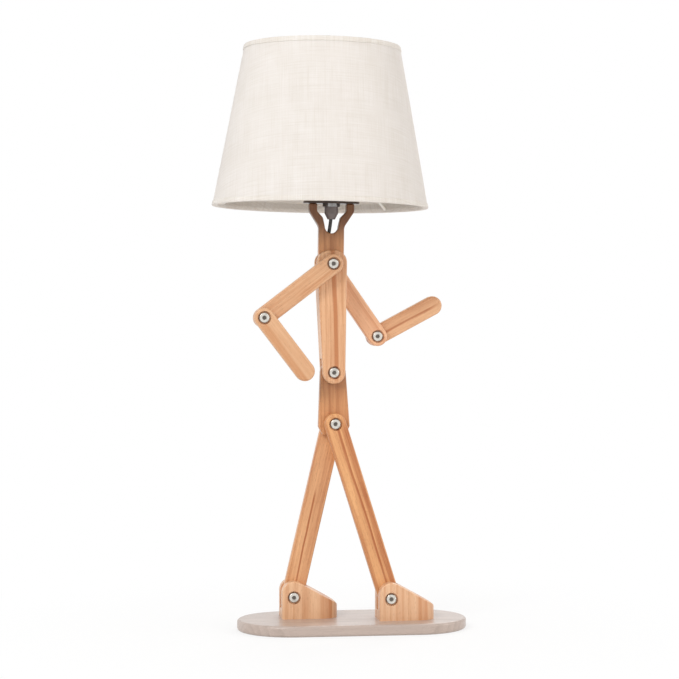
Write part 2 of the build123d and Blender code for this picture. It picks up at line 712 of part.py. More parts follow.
def hem(rim, inward):
    """Fabric strip folded round a rim and over its wire; inward is the way to the shade's middle."""
    wall = cover_thickness + glue_line + lining_thickness
    outer, inner = rim + inward * hem_outer_height, rim + inward * hem_inner_height
    edge, wire_side = rim - inward * hem_thickness, rim + inward * (ring_wire + 2 * glue_line)
    pocket = wall + ring_wire + 2 * glue_line
    return turned([(cover_radius(outer), outer), (cover_radius(outer) + hem_thickness, outer),
                   (cover_radius(edge) + hem_thickness, edge), (cover_radius(edge) - pocket, edge),
                   (cover_radius(wire_side) - pocket - hem_thickness, wire_side),
                   (cover_radius(inner) - wall - hem_thickness, inner), (cover_radius(inner) - wall, inner),
                   (cover_radius(wire_side) - pocket, wire_side), (cover_radius(rim) - pocket, rim),
                   (cover_radius(rim), rim)], shade_offset)


def ring_radius(height):
    return cover_radius(height) - cover_thickness - lining_thickness - 2 * glue_line - ring_wire / 2


def ring_section(height):
    """Add the section of a ring's round wire to the sketch being drawn."""
    with Locations((ring_radius(height), height)):
        Circle(ring_wire / 2)


shade_cover = cone_shell(0, cover_thickness)
shade_lining = cone_shell(cover_thickness + glue_line, lining_thickness)
top_hem = hem(rim_top, -1)

shade_side = head_side(shade_offset)
shade_axis = Axis(shade_side.origin, shade_side.y_dir)
with BuildPart() as top_ring:
    with BuildSketch(shade_side):
        ring_section(rim_top - ring_wire / 2 - glue_line)
    revolve(axis=shade_axis)

ring_height = rim_bottom + ring_wire / 2 + glue_line
with BuildPart() as bottom_ring:
    with BuildSketch(shade_side):
        ring_section(ring_height)
    revolve(axis=shade_axis)

carrier_inner = holder_radius + seat_clearance
carrier_outer = carrier_inner + carrier_width


def spider_wires(diameter):
    """The arms, from the carrier's edge out and down to the bottom ring they are welded to."""
    inner_end, outer_end = carrier_outer - arm_wire / 2, ring_radius(ring_height)
    with BuildPart() as wires:
        for arm in range(spider_arms):
            turn = radians(spider_turn + arm * 360 / spider_arms)
            across, back = cos(turn), sin(turn)
            start = head_point(inner_end * across, shade_seat + carrier_thickness / 2, inner_end * back)
            end = head_point(shade_offset + outer_end * across, ring_height, outer_end * back)
            with BuildLine() as run:
                Line(start, end)
            with BuildSketch(Plane(origin=start, z_dir=run.line % 0)):
                Circle(diameter / 2)
            sweep(path=run.line)
    return wires.part


with BuildPart() as shade_spider:
    with BuildSketch(head_level(shade_seat)):
        Circle(carrier_outer)
        Circle(carrier_inner, mode=Mode.SUBTRACT)
    extrude(amount=carrier_thickness)
    add(spider_wires(arm_wire))

bottom_hem = hem(rim_bottom, 1) - spider_wires(arm_wire + 2 * arm_notch_play)

pieces = {
    "base_plate": base_plate.part, "front_foot": front_foot, "rear_foot": rear_foot,
    "foot_screws": foot_screws,
    "foot_bolts": Compound(children=foot_bolts), "foot_nuts": Compound(children=foot_nuts),
    "front_leg": front_leg.part, "rear_leg": rear_leg.part,
    "hip_bolt": hip_bolt, "hip_nut": hip_nut, "hip_washers": hip_washers, "pelvis": pelvis.part,
    "torso": torso.part, "waist_bolt": waist_bolt, "waist_nut": waist_nut, "waist_washers": waist_washers,
    "shoulder_bolt": shoulder_bolt, "shoulder_nut": shoulder_nut, "shoulder_washers": shoulder_washers,
    "front_upper_arm": front_upper_arm.part, "front_forearm": front_forearm.part,
    "front_elbow_bolt": front_elbow_bolt, "front_elbow_nut": front_elbow_nut,
    "front_elbow_washer": front_elbow_washer,
    "rear_upper_arm": rear_upper_arm.part, "rear_forearm": rear_forearm.part,
    "rear_elbow_bolt": rear_elbow_bolt, "rear_elbow_nut": rear_elbow_nut,
    "rear_elbow_washer": rear_elbow_washer,
    "neck_fork": neck_fork.part, "socket_lead": socket_lead.part, "lead_grommet": lead_grommet.part,
    "socket_strap": socket_strap.part, "strap_screws": strap_screws, "socket_nipple": socket_nipple,
    "nipple_nut": nipple_nut.part, "cord_grip": cord_grip, "lampholder_cap": lampholder_cap,
    "lampholder_shell": lampholder_shell, "contact_insert": contact_insert, "centre_contact": centre_contact,
    "screw_shell": screw_shell, "shade_ring_nut": shade_ring_nut, "bulb_cap": bulb_cap,
    "bulb_envelope": bulb_envelope.part, "shade_cover": shade_cover, "shade_lining": shade_lining,
    "bottom_hem": bottom_hem, "top_hem": top_hem, "top_ring": top_ring.part, "bottom_ring": bottom_ring.part,
    "shade_spider": shade_spider.part,
}

os.makedirs("parts", exist_ok=True)
for name, piece in pieces.items():
    piece.label = name
    export_step(piece, f"parts/{name}.step")
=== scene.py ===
import json
from math import atan, atan2, cos, pi, radians, sin

import bmesh
import bpy
from mathutils import Euler, Matrix, Vector


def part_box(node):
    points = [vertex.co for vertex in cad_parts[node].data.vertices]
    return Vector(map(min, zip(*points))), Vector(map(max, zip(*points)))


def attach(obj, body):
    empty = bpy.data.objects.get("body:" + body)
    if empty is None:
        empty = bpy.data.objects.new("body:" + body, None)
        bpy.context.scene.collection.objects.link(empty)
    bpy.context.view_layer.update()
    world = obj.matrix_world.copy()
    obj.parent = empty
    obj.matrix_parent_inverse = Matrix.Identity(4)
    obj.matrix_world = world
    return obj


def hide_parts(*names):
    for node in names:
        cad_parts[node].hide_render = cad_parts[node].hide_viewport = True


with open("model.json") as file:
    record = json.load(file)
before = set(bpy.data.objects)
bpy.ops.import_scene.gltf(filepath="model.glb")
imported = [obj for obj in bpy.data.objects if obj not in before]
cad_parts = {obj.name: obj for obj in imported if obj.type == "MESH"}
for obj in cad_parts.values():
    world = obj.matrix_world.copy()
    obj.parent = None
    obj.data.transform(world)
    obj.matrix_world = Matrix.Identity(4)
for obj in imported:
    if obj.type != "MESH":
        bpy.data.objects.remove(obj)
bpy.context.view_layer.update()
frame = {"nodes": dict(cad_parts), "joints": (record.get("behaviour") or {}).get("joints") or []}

# The looks of a jointed wooden desk lamp: wood, hardware, lampholder and fabric shade. Places are in metres,
# +Z is up and the figure faces -Y. Materials are written in millimetres, and their colours in sRGB from 0
# to 255.

nodes = frame["nodes"]
joint_at = {joint["name"]: Vector(joint["pos_m"]) for joint in frame["joints"]}
millimetres = 1000.0          # in a metre

# ---- Camera: the photograph's viewing angle
camera_place = Vector((-0.2501, -1.8213, 0.2835))
camera_target = Vector((-0.0116, 0.0, 0.2675))
sensor_width = 36.0
lens_length = 105.3

camera_data = bpy.data.cameras.new("camera")
camera_data.sensor_width = sensor_width
camera_data.lens = lens_length
camera = bpy.data.objects.new("camera", camera_data)
camera.location = camera_place
camera.rotation_euler = (camera_target - camera_place).to_track_quat("-Z", "Y").to_euler()
bpy.context.scene.collection.objects.link(camera)
bpy.context.scene.camera = camera
bpy.context.scene.view_settings.view_transform = "Standard"


# ---- Small helpers for node materials
def linear(red, green, blue):
    """sRGB from 0 to 255, as the linear colour that shader sockets take."""
    def channel(value):
        value /= 255
        return value / 12.92 if value <= 0.04045 else ((value + 0.055) / 1.055) ** 2.4
    return (channel(red), channel(green), channel(blue), 1.0)


def toned(colour, factor, lift=0.0):
    """A linear colour made lighter or darker."""
    return tuple(min(1.0, channel * factor + lift) for channel in colour[:3]) + (1.0,)


class NodeTree:
    """The node tree of a material or world. Most methods add nodes and return the socket that comes out."""

    def __init__(self, owner, output):
        owner.use_nodes = True
        self.tree = owner.node_tree
        self.output = self.tree.nodes[output]

    def plug(self, node, key, value):
        if isinstance(value, bpy.types.NodeSocket):
            self.tree.links.new(value, node.inputs[key])
        else:
            node.inputs[key].default_value = value

    def add(self, kind, inputs=(), **settings):
        """Add a node and return the node itself."""
        node = self.tree.nodes.new("ShaderNode" + kind)
        for key, value in settings.items():
            setattr(node, key, value)
        for key, value in dict(inputs).items():
            self.plug(node, key, value)
        return node

    def place(self, origin=Vector(), turn=Euler()):
        """The shaded point's place in millimetres, from an origin in metres and turned with a member."""
        metres = self.add("TexCoord").outputs["Object"]
        shift = turn.to_matrix() @ origin * -millimetres
        return self.mapped(metres, tuple(shift), tuple(turn), (millimetres,) * 3)

    def mapped(self, vector, location=(0, 0, 0), rotation=(0, 0, 0), scale=(1, 1, 1)):
        return self.add("Mapping", {"Vector": vector, "Location": location, "Rotation": rotation,
                                    "Scale": scale}).outputs[0]

    def math(self, operation, first, second=0.0, third=0.0, clamp=False):
        return self.add("Math", {0: first, 1: second, 2: third}, operation=operation,
                        use_clamp=clamp).outputs[0]

    def parts(self, vector):
        return self.add("SeparateXYZ", {0: vector}).outputs

    def point(self, x, y, z=0.0):
        return self.add("CombineXYZ", {0: x, 1: y, 2: z}).outputs[0]

    def length(self, vector):
        return self.add("VectorMath", {0: vector}, operation="LENGTH").outputs["Value"]

    def noise(self, vector, scale=1.0, detail=2.0, rough=0.5):
        return self.add("TexNoise", {"Vector": vector, "Scale": scale, "Detail": detail,
                                     "Roughness": rough}).outputs[0]

    def stretched(self, vector, scale, offset=(0, 0, 0), detail=2.0, rough=0.5):
        """Noise with its own scale along each axis. It is drawn out along an axis whose scale is small."""
        return self.noise(self.mapped(vector, offset, scale=scale), 1.0, detail, rough)

    def ramp(self, value, low, high, to_low=0.0, to_high=1.0):
        """Value from low to high, smoothly, as a number from to_low to to_high."""
        return self.add("MapRange", {"Value": value, "From Min": low, "From Max": high, "To Min": to_low,
                                     "To Max": to_high}, interpolation_type="SMOOTHSTEP").outputs[0]

    def swing(self, share, noise, gain):
        """A share, raised and lowered by noise about its middle."""
        return self.math("MULTIPLY_ADD", self.math("SUBTRACT", noise, 0.5), gain, share)

    def waver(self, noise, width):
        """Noise as a length from minus to plus half a width."""
        return self.math("MULTIPLY_ADD", noise, width, -width / 2)

    def mix(self, share, first, second):
        return self.add("Mix", {"Factor": share, 6: first, 7: second}, data_type="RGBA").outputs[2]

    def bump(self, height, strength, distance):
        return self.add("Bump", {"Height": height, "Strength": strength, "Distance": distance}).outputs[0]

    def seen(self):
        """1 for a camera, glossy or transmission ray, and 0 for a ray that lights something."""
        path = self.add("LightPath").outputs
        return self.math("MAXIMUM", path["Is Camera Ray"],
                         self.math("MAXIMUM", path["Is Glossy Ray"], path["Is Transmission Ray"]))

    def surface(self, share, first, second):
        """Show a share of the second shader over the first."""
        blend = self.add("MixShader", {0: share, 1: first, 2: second})
        self.tree.links.new(blend.outputs[0], self.output.inputs["Surface"])


class Finish(NodeTree):
    """A material round one Principled shader."""

    def __init__(self, name):
        self.material = bpy.data.materials.new(name)
        super().__init__(self.material, "Material Output")
        self.shader = self.tree.nodes["Principled BSDF"]

    def set(self, **values):
        """Set the Principled shader's sockets; underscores stand for spaces."""
        for key, value in values.items():
            self.plug(self.shader, key.replace("_", " "), value)

    def let_through(self, share, colour):
        """Let a share of the light through the surface, scattered."""
        through = self.add("BsdfTranslucent", {"Color": colour})
        self.surface(share, self.shader.outputs[0], through.outputs[0])


def paint(node, material):
    """Give a CAD node its finished material in every slot."""
    mesh = nodes[node].data
    if not mesh.materials:
        mesh.materials.append(material)
    for index in range(len(mesh.materials)):
        mesh.materials[index] = material


# ---- Wood
grain_drift = 7.0             # how far the grain wanders across a board
pith_through = 22.0           # from the board's middle line to the middle of the growth rings
pith_across = 9.0
ring_growing = (0.25, 0.9)    # where a ring's dark line grows, as a share of the ring's width
ring_ending = (0.92, 1.0)
streak_core = 0.35            # share of a streak's width that has its full strength
streak_rise = (-12, 6)        # how it comes in and goes out, before and after where it is said to start
ground_share = 0.22           # share of the dark colour where no grain shows
fleck_share, fleck_tone, fleck_pit = 0.45, 0.45, -0.8     # how strong, how dark and how deep the pores are
shadow_tone = 0.35            # how dark a shadowed end is, against its dark colour


def wood(name, start, end, light, dark, streaks=(), growth=3.4, growth_share=0.35, seed=0.0, end_shadow=None,
         coat=0.25, coat_rough=0.28, rough=0.42):
    """Lacquered wood with its grain along a member: X along, Y through and Z across it.

    start and end are points on the member's middle line. growth is the width of a ring. Each streak is
    (across, half width, share, from, to): across is from the middle line, and from and to are along the
    grain, as they are in end_shadow, which is (from, to, share).
    """
    finish = Finish(name)
    along = (end - start).normalized()
    spot = finish.place(start, Euler((0, pi / 2 - atan2(along.x, along.z), 0)))
    x, y, z = finish.parts(spot)
    drift = finish.stretched(spot, (0.009, 0.05, 0.05), (seed, 0, 0))
    across = finish.math("ADD", z, finish.waver(drift, grain_drift))

    # growth rings about a pith beside the board, each ending in a narrow dark line
    pith = finish.point(0.0, finish.math("ADD", y, pith_through + seed % 7),
                        finish.math("ADD", across, pith_across - seed % 5))
    cycle = finish.math("FRACT", finish.math("MULTIPLY", finish.length(pith), 1 / growth))
    rings = finish.math("MULTIPLY", finish.ramp(cycle, *ring_growing),
                        finish.ramp(cycle, *ring_ending, 1.0, 0.0))

    fibre = finish.stretched(spot, (0.03, 1.3, 1.3), (seed * 3.1, seed, 0), detail=6.0, rough=0.62)
    fine = finish.stretched(spot, (0.12, 4.5, 4.5), (0, seed, seed), detail=3.0, rough=0.7)
    pores = finish.stretched(spot, (0.22, 3.2, 3.2), (seed, 5, 0), detail=1.0)
    cloud = finish.stretched(spot, (0.012, 0.09, 0.09), (seed, 0, 9), detail=3.0)
    flecks = finish.ramp(pores, 0.64, 0.74)

    share = finish.math("MULTIPLY", rings, growth_share)
    share = finish.swing(share, fibre, gain=1.1)
    share = finish.swing(share, fine, gain=0.35)
    share = finish.swing(share, cloud, gain=0.8)
    for middle, half_width, strength, first, last in streaks:
        gap = finish.math("ABSOLUTE", finish.math("SUBTRACT", across, middle))
        band = finish.ramp(gap, half_width * streak_core, half_width, strength, 0.0)
        before, after = streak_rise
        fade = finish.math("MULTIPLY", finish.ramp(x, first + before, first + after),
                           finish.ramp(x, last - after, last - before, 1.0, 0.0))
        share = finish.math("ADD", share, finish.math("MULTIPLY", band, fade))
    share = finish.math("ADD", share, ground_share, clamp=True)

    pale, deep = linear(*light), linear(*dark)
    colour = finish.mix(share, pale, deep)
    colour = finish.mix(finish.math("MULTIPLY", flecks, fleck_share), colour, toned(deep, fleck_tone))
    if end_shadow:
        first, last, strength = end_shadow
        colour = finish.mix(finish.ramp(x, first, last, 0.0, strength), colour,
                            toned(deep, shadow_tone))

    relief = finish.math("MULTIPLY_ADD", flecks, fleck_pit, fibre)
    finish.set(Base_Color=colour, Roughness=finish.ramp(fibre, 0.3, 0.75, rough - 0.06, rough + 0.1),
               Normal=finish.bump(relief, strength=0.25, distance=0.00025), Coat_Weight=coat,
               Coat_Roughness=coat_rough)
    return finish.material


hip, waist, shoulder = joint_at["hip"], joint_at["waist"], joint_at["neck"]
front_elbow, rear_elbow = joint_at["front_elbow"], joint_at["rear_elbow"]


def far_point(node, centre):
    """The point of a board that is farthest from one of its bolts, drawn to the plane Y = 0."""
    points = [nodes[node].matrix_world @ vertex.co for vertex in nodes[node].data.vertices]
    steps = [Vector((point.x - centre.x, 0, point.z - centre.z)) for point in points]
    return Vector((centre.x, 0, centre.z)) + max(steps, key=lambda step: step.length)


members = {
    "front_upper_arm": wood("front upper arm wood", shoulder, front_elbow, (219, 174, 134), (190, 126, 80),
                            seed=3.0, growth_share=0.2, streaks=[(4.5, 3.5, 0.35, -15, 40)]),
    "front_forearm": wood("front forearm wood", front_elbow, far_point("front_forearm", front_elbow),
                          (219, 174, 134), (196, 136, 90), seed=11.0, growth_share=0.18,
                          streaks=[(-5.0, 4.0, 0.35, 5, 80)]),
    "rear_upper_arm": wood("rear upper arm wood", shoulder, rear_elbow, (240, 192, 152), (200, 134, 92),
                           seed=17.0),
    "rear_forearm": wood("rear forearm wood", rear_elbow, far_point("rear_forearm", rear_elbow),
                         (236, 188, 144), (176, 104, 58), seed=23.0, streaks=[(-0.5, 1.5, 0.6, -10, 60)]),
    "torso": wood("torso wood", waist, shoulder, (236, 192, 150), (188, 122, 76), seed=31.0,
                  growth_share=0.25,
                  streaks=[(-0.6, 2.8, 0.9, -5, 112), (4.4, 0.9, 0.3, -10, 112), (-7.5, 1.8, 0.2, 0, 112)]),
    "pelvis": wood("pelvis wood", hip, waist, (220, 160, 108), (166, 98, 52), seed=41.0, growth=2.4,
                   end_shadow=(14, 40, 0.4)),
    "front_leg": wood("front leg wood", hip, far_point("front_leg", hip), (230, 172, 116), (172, 98, 50),
                      seed=47.0, growth_share=0.25,
                      streaks=[(1.4, 1.5, 0.75, 0, 190), (7.2, 2.8, 0.5, 5, 190), (-8.6, 1.8, 0.35, 0, 190)]),
    "rear_leg": wood("rear leg wood", hip, far_point("rear_leg", hip), (232, 178, 128), (172, 100, 52),
                     seed=53.0, growth_share=0.25,
                     streaks=[(-1.4, 1.2, 0.75, 70, 150), (7.5, 2.2, 0.3, 10, 190),
                              (-8.8, 1.6, 0.3, 0, 190)]),
    # The neck's darker colours are partly its own wood and partly painted shade under the lampshade;
    # end_shadow paints more shade towards the prongs.
    "neck_fork": wood("neck wood", shoulder, shoulder + Vector((0, 0, 0.06)), (222, 162, 112), (152, 90, 48),
                      seed=61.0, end_shadow=(12, 42, 0.85)),
    "base_plate": wood("base wood", Vector((0, 0, 0.005)), Vector((0.1, 0, 0.005)), (192, 175, 165),
                       (164, 147, 136), growth=5.0, growth_share=0.3, seed=79.0, coat=0.4, coat_rough=0.16,
                       rough=0.4),
}
# Each foot's darker band towards the toe is partly grain and partly painted shade, where the rounded toe
# turns from the light.
for foot, light, dark, seed in (("front_foot", (232, 190, 152), (206, 146, 102), 67.0),
                                ("rear_foot", (235, 192, 152), (198, 134, 88), 71.0)):
    low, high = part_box(foot)
    bottom = Vector(((low.x + high.x) / 2, 0, low.z))
    members[foot] = wood(foot.replace("_", " ") + " wood", bottom, bottom + Vector((0, 0, 1)), light, dark,
                         streaks=[(-14, 7, 0.5, -20, 60)], growth=6.0, seed=seed)
for node, material in members.items():
    paint(node, material)

# ---- Metals
head_radius = 0.0048          # of a bolt's head
socket_fade = (1.5, 2.3)      # from the head's centre, where the painted shade in its socket ends
rim_fade = (3.7, 4.8)         # where the painted shade at its rounded edge begins


def turned_metal(name, colour, rough, spacing, coverage=0.4, tarnish=(120, 112, 104), centres=()):
    """Bright metal with fine tool marks and a little dulling in patches. Round the centres of bolt heads,
    shade is painted into the socket and onto the rounded edge, where the head's pocket shades it."""
    finish = Finish(name)
    spot = finish.place()
    marks = finish.noise(spot, 1 / spacing, detail=3.0, rough=0.6)
    patches = finish.ramp(finish.noise(spot, scale=0.35, detail=4.0, rough=0.6), 0.45, 0.7)
    base = finish.mix(finish.math("MULTIPLY", patches, coverage), linear(*colour), linear(*tarnish))
    if centres:
        x, _, z = finish.parts(spot)
        reach = None
        for centre in centres:
            distance = finish.length(finish.point(finish.math("SUBTRACT", x, centre.x * millimetres),
                                                  finish.math("SUBTRACT", z, centre.z * millimetres)))
            reach = distance if reach is None else finish.math("MINIMUM", reach, distance)
        reach = finish.math("ADD", reach, finish.waver(finish.noise(spot, scale=0.8), 1.3))
        # painted shade: dark in the socket and at the head's rounded edge, where its pocket shades it
        painted_shade = finish.math("MAXIMUM", finish.ramp(reach, *socket_fade, 0.85, 0.0),
                            finish.ramp(reach, *rim_fade, 0.0, 0.6))
        base = finish.mix(painted_shade, base, linear(58, 46, 38))
    finish.set(Base_Color=base, Metallic=1.0,
               Roughness=finish.ramp(marks, 0.3, 0.7, rough - 0.08, rough + 0.12),
               Normal=finish.bump(marks, strength=0.12, distance=0.00005))
    return finish.material


bolt_low, bolt_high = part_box("foot_bolts")
foot_bolt_height = (bolt_low.z + bolt_high.z) / 2
bolt_centres = [hip, waist, shoulder, front_elbow, rear_elbow,
                Vector((bolt_high.x - head_radius, 0, foot_bolt_height)),
                Vector((bolt_low.x + head_radius, 0, foot_bolt_height))]
bolt_steel = turned_metal("bolt steel", (226, 222, 214), rough=0.3, spacing=0.25, centres=bolt_centres)
zinc_steel = turned_metal("zinc steel", (190, 192, 196), rough=0.36, spacing=0.5)
brass = turned_metal("brass", (214, 176, 104), rough=0.28, spacing=0.4, tarnish=(150, 112, 58))
bulb_metal = turned_metal("bulb cap metal", (206, 206, 204), rough=0.32, spacing=0.4)


# ---- Moulded and painted surfaces
def moulded(name, colour, rough, grain=0.35, coat=0.0, variation=0.12, glow=None):
    """Plastic or paint with a fine moulded grain and slight mottling. glow is (share, colour) of the light
    that comes through."""
    finish = Finish(name)
    spot = finish.place()
    skin = finish.noise(spot, 1 / grain, detail=3.0, rough=0.65)
    mottle = finish.ramp(finish.noise(spot, scale=0.12, detail=3.0), 0.3, 0.7)
    base = linear(*colour)
    finish.set(Base_Color=finish.mix(mottle, toned(base, 1 - variation), toned(base, 1 + variation, 0.004)),
               Roughness=finish.ramp(skin, 0.3, 0.7, rough - 0.05, rough + 0.08),
               Normal=finish.bump(skin, strength=0.15, distance=0.0001), Coat_Weight=coat)
    if glow:
        share, passed = glow
        finish.let_through(share, linear(*passed))
    return finish.material


def opal_glass():
    """Milky glass: smooth outside, with light scattered through it."""
    finish = Finish("opal bulb glass")
    haze = finish.noise(finish.place(), scale=0.06, detail=3.0)
    milk = finish.mix(finish.ramp(haze, 0.3, 0.7), linear(240, 237, 230), linear(248, 246, 241))
    finish.set(Base_Color=milk, Roughness=finish.ramp(haze, 0.3, 0.7, 0.16, 0.24), Coat_Weight=0.4,
               Coat_Roughness=0.08)
    finish.let_through(0.35, linear(250, 246, 236))
    return finish.material


strap_paint = moulded("black strap paint", (72, 56, 48), rough=0.38, grain=0.6, coat=0.3)
frame_coat = moulded("white frame coating", (232, 229, 222), rough=0.4, grain=0.8, coat=0.2, variation=0.05)
holder_plastic = moulded("black lampholder plastic", (44, 43, 43), rough=0.3, grain=0.5, coat=0.2)
grip_plastic = moulded("grey cord grip plastic", (120, 110, 108), rough=0.42, grain=0.4)
insert_plastic = moulded("cream insulating insert", (226, 220, 204), rough=0.55, grain=0.6, variation=0.06)
jacket = moulded("lead jacket", (70, 68, 68), rough=0.5, grain=0.3)
lining_sheet = moulded("white shade laminate", (252, 247, 240), rough=0.55, grain=0.9, variation=0.02,
                       glow=(0.2, (246, 234, 220)))

for material, painted in (
        (bolt_steel, ("foot_bolts", "foot_nuts", "hip_bolt", "hip_nut", "waist_bolt", "waist_nut",
                      "shoulder_bolt", "shoulder_nut", "front_elbow_bolt", "front_elbow_nut",
                      "rear_elbow_bolt", "rear_elbow_nut")),
        (zinc_steel, ("foot_screws", "hip_washers", "waist_washers", "shoulder_washers", "front_elbow_washer",
                      "rear_elbow_washer", "strap_screws", "socket_nipple", "nipple_nut")),
        (holder_plastic, ("lead_grommet", "lampholder_cap", "lampholder_shell", "shade_ring_nut")),
        (frame_coat, ("top_ring", "bottom_ring", "shade_spider")),
        (brass, ("centre_contact", "screw_shell")),
        (jacket, ("socket_lead",)),
        (strap_paint, ("socket_strap",)),
        (grip_plastic, ("cord_grip",)),
        (insert_plastic, ("contact_insert",)),
        (bulb_metal, ("bulb_cap",)),
        (opal_glass(), ("bulb_envelope",)),
        (lining_sheet, ("shade_lining",))):
    for node in painted:
        paint(node, material)

# ---- Shade: a cone whose sizes are read back from the CAD nodes, in the leaning frame of the neck
head_lean = radians(0.8)      # of the neck at rest, to the figure's left
cover_thickness, lining_thickness, glue_line = 0.0008, 0.0006, 0.00005
rim_depth = 0.001             # points this near to the cover's end belong to its rim
head_frame = Matrix.Translation(shoulder) @ Matrix.Rotation(head_lean, 4, "Y")
to_head = head_frame.inverted()


def head_points(node):
    return [to_head @ vertex.co for vertex in nodes[node].data.vertices]


def span(points):
    """The lowest and highest X of some points."""
    return min(point.x for point in points), max(point.x for point in points)


cover_points = head_points("shade_cover")
cover_low = min(point.z for point in cover_points)
cover_high = max(point.z for point in cover_points)
low_left, low_right = span([point for point in cover_points if point.z < cover_low + rim_depth])
high_left, high_right = span([point for point in cover_points if point.z > cover_high - rim_depth])
axis_x = (low_left + low_right) / 2
cover_low_radius = (low_right - low_left) / 2
cover_high_radius = (high_right - high_left) / 2
shade_frame = head_frame @ Matrix.Translation((axis_x, 0, 0))
taper = (cover_low_radius - cover_high_radius) / (cover_high - cover_low)
cone_angle = atan(taper)


def cover_radius(height):
    return cover_low_radius - taper * (height - cover_low)


thread_waver = 2.4            # how far a thread strays from its line
slub_fade = (0.6, 0.74)       # level of the noise at which a thread swells into a slub
slub_share, gap_share, cloud_share = 0.35, 0.35, 0.8      # of the dark colour, in slubs, gaps and clouds


def linen(name, light, dark, pitch, glow):
    """Plain-woven linen cut flat and rolled into the shade's cone, so that its threads run straight at the
    front and slant towards the back. Threads vary in thickness and tone, with long slubs both ways."""
    finish = Finish(name)
    x, y, z = finish.parts(finish.place(shade_frame.translation, Euler((0, -head_lean, 0))))
    apex = (cover_low_radius / taper + cover_low) * millimetres
    slant = finish.math("DIVIDE", finish.math("SUBTRACT", apex, z), cos(cone_angle))
    round_cone = finish.math("ARCTAN2", x, finish.math("MULTIPLY", y, -1.0))
    angle = finish.math("MULTIPLY", round_cone, sin(cone_angle))
    flat_x = finish.math("MULTIPLY", slant, finish.math("SINE", angle))
    flat_y = finish.math("MULTIPLY", slant, finish.math("COSINE", angle))
    flat = finish.point(flat_x, flat_y)

    # threads that pass over and under each other, with a little waver in their run
    waver = finish.waver(finish.noise(flat, scale=0.12, detail=3.0), thread_waver)
    warp = finish.math("SINE", finish.math("MULTIPLY", finish.math("ADD", flat_x, waver), pi / pitch))
    weft = finish.math("SINE", finish.math("MULTIPLY", finish.math("ADD", flat_y, waver), pi / pitch))
    over = finish.ramp(finish.math("MULTIPLY", warp, weft), -0.25, 0.25)
    weave = finish.math("ADD", finish.math("MULTIPLY", finish.math("ABSOLUTE", warp), over),
                        finish.math("MULTIPLY", finish.math("ABSOLUTE", weft),
                                    finish.math("SUBTRACT", 1.0, over)))

    upright = finish.stretched(flat, (0.9, 0.022, 1.0), detail=3.0, rough=0.6)
    level = finish.stretched(flat, (0.022, 0.9, 1.0), (7, 3, 0), detail=3.0, rough=0.6)
    broad = finish.stretched(flat, (0.05, 0.03, 1.0), (1, 8, 0), detail=4.0, rough=0.6)
    slubs = finish.math("MAXIMUM", finish.ramp(upright, *slub_fade), finish.ramp(level, *slub_fade))
    share = finish.math("MULTIPLY_ADD", finish.math("ADD", upright, level), 1.1, -0.6)
    share = finish.swing(share, broad, gain=cloud_share)
    share = finish.math("MULTIPLY_ADD", slubs, slub_share, share)
    share = finish.math("MULTIPLY_ADD", finish.math("SUBTRACT", 1.0, weave), gap_share, share, clamp=True)
    colour = finish.mix(share, linear(*light), linear(*dark))
    height = finish.math("MULTIPLY_ADD", slubs, 0.5, weave)
    finish.set(Base_Color=colour, Roughness=finish.ramp(weave, 0.0, 1.0, 0.95, 0.82), Sheen_Weight=0.15,
               Sheen_Roughness=0.5, Specular_IOR_Level=0.25,
               Normal=finish.bump(height, strength=0.25, distance=0.00035))
    finish.let_through(glow, colour)
    return finish.material


cover_linen = linen("oatmeal linen", (250, 246, 243), (236, 230, 223), pitch=0.85, glow=0.2)
hem_linen = linen("folded linen hem", (248, 245, 241), (226, 218, 208), pitch=0.6, glow=0.1)


def ripple(turn, *waves):
    """A small closed wave round the shade, from (count, height, phase) terms."""
    return sum(height * sin(count * turn + phase) for count, height, phase in waves)


turns = 480                   # outlines round the shade
corner_angle = radians(50)


def swept(name, outline_at, material):
    """Closed ring of mesh about the shade's axis. outline_at(turn) gives its (radius, height) points."""
    build = bmesh.new()
    rings = []
    for index in range(turns):
        turn = 2 * pi * index / turns
        rings.append([build.verts.new(shade_frame @ Vector((radius * sin(turn), -radius * cos(turn), height)))
                      for radius, height in outline_at(turn)])
    for index, ring in enumerate(rings):
        following = rings[(index + 1) % turns]
        for at in range(len(ring)):
            then = (at + 1) % len(ring)
            build.faces.new((ring[at], following[at], following[then], ring[then]))
    bmesh.ops.recalc_face_normals(build, faces=build.faces)
    mesh = bpy.data.meshes.new(name)
    build.to_mesh(mesh)
    build.free()
    mesh.polygons.foreach_set("use_smooth", [True] * len(mesh.polygons))
    mesh.set_sharp_from_angle(angle=corner_angle)
    mesh.materials.append(material)
    piece = bpy.data.objects.new(name, mesh)
    bpy.context.scene.collection.objects.link(piece)
    return piece


# The cover: taut cloth with a folded overlap down the back
rises = 40                    # steps from rim to rim
seam_half = 0.0065            # half the overlap's width
seam_fold = 0.0009            # width over which the overlap's edge rises
seam_rise = 0.00045
slack_height = 0.00018        # of the cloth's unevenness at mid-height, which is none at the rims
slack_waves = ((5, 0.5, 0.4), (9, 0.3, 1.9), (14, 0.2, 0.7))
rim_pinch = 0.0001            # how far the hems press the cloth in
pinch_share, lap_share = 1 / 4, 1 / 8     # of the way from rim to mid-height, where these have eased


def cover_outline(turn):
    behind = pi - min(turn, 2 * pi - turn)
    outer, inner = [], []
    for step in range(rises + 1):
        height = cover_low + (cover_high - cover_low) * step / rises
        radius = cover_radius(height)
        ease = min(step, rises - step) / (rises / 2)
        lap = seam_rise * min(1.0, max(0.0, 0.5 - (behind * radius - seam_half) / seam_fold))
        slack = slack_height * ease * ripple(turn, *slack_waves)
        pinch = rim_pinch * (1 - min(1.0, ease / pinch_share))
        outer.append((radius + lap * min(1.0, ease / lap_share) - pinch + slack, height))
        inner.append((radius - cover_thickness, height))
    return outer + inner[::-1]


shade_cover = swept("shade_cover_linen", cover_outline, cover_linen)
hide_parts("shade_cover")
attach(shade_cover, "head")

